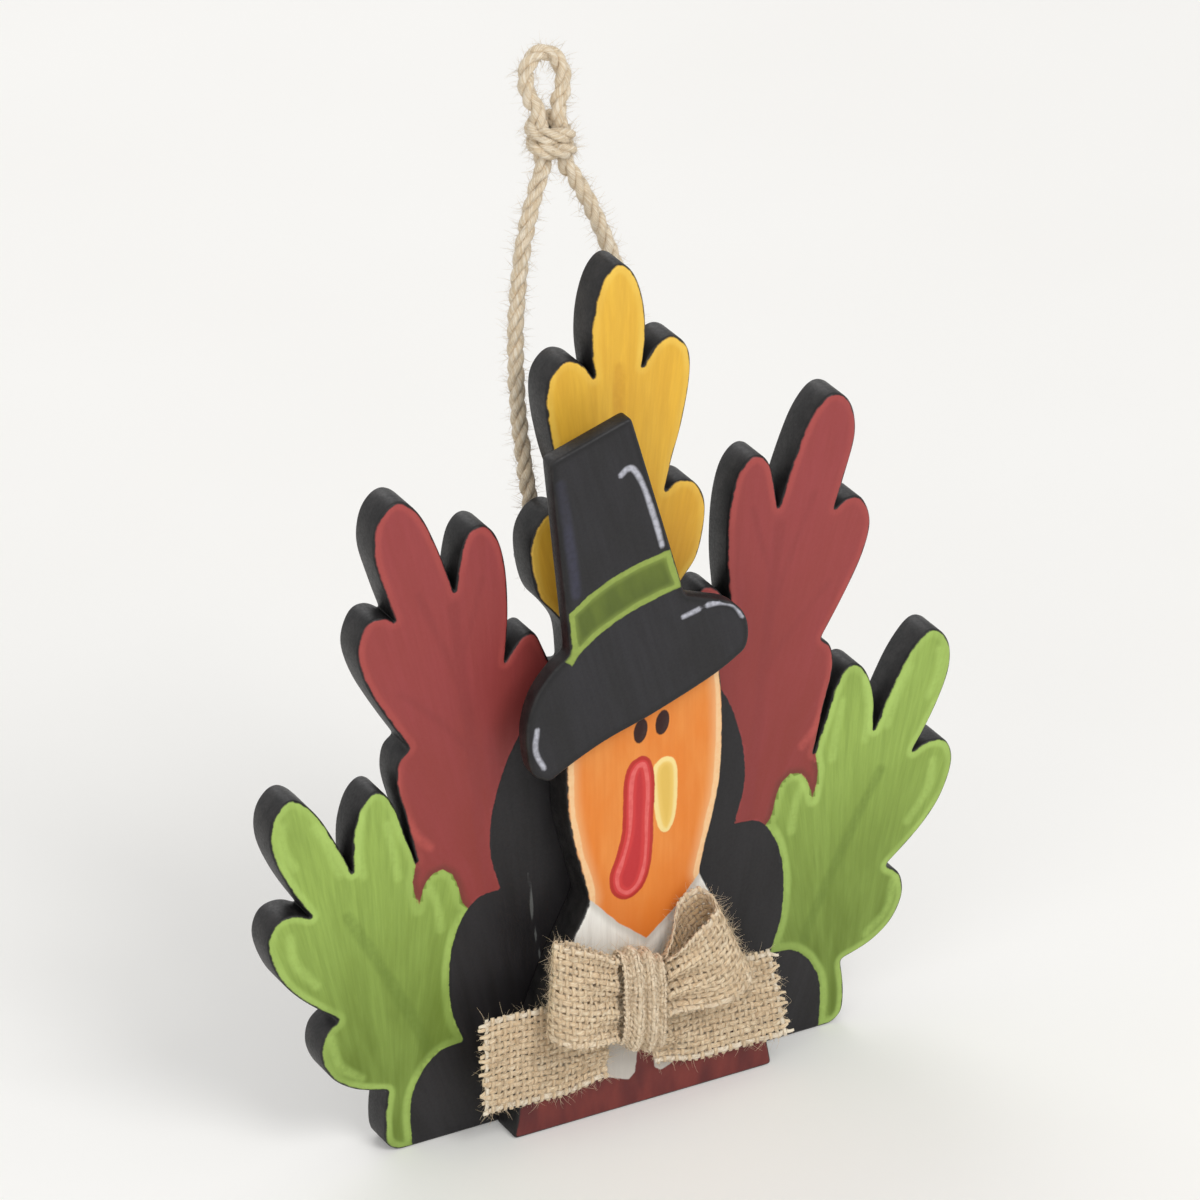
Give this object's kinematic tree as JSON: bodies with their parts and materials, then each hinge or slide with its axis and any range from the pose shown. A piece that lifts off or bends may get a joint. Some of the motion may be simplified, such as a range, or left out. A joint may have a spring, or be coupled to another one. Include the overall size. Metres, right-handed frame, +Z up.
{
  "type": "thanksgiving turkey figure",
  "caption": "Flat painted wooden turkey ornament in a tall hat, with a leaf-shaped fan tail, a burlap bow and a twine hanger that folds back.",
  "frame": {"origin": "middle of the rigid pieces' footprint, on the surface that the ornament stands on", "axes": "+Z up, the painted front faces -Y, +X to the viewer's right"},
  "size_m": [0.127, 0.04, 0.1772],
  "materials": {
    "red_paint": "matt craft paint",
    "yellow_paint": "matt craft paint",
    "green_paint": "matt craft paint",
    "orange_paint": "matt craft paint",
    "black_paint": "matt craft paint",
    "white_paint": "matt craft paint",
    "burlap": "open plain weave",
    "jute": "twisted jute twine",
    "staple_wire": "plain wire"
  },
  "bodies": {
    "figure": {"fan_board": "red_paint", "body_board": "orange_paint", "hat_board": "black_paint", "bow_loop_left": "burlap", "bow_loop_right": "burlap", "bow_tail_left": "burlap", "bow_tail_right": "burlap", "bow_knot": "burlap", "twine_end_left": "jute", "twine_end_right": "jute", "staple_left": "staple_wire", "staple_right": "staple_wire"},
    "hanger": {"hanger_leg_left": "jute", "hanger_leg_right": "jute", "hanger_knot": "jute", "hanger_eye": "jute"}
  },
  "joints": [
    {"name": "hanger_swing", "type": "hinge", "parent": "figure", "child": "hanger", "pos_m": [0, 0.01125, 0.102], "axis": [-1, 0, 0], "range_deg": [-10, 145]}
  ]
}
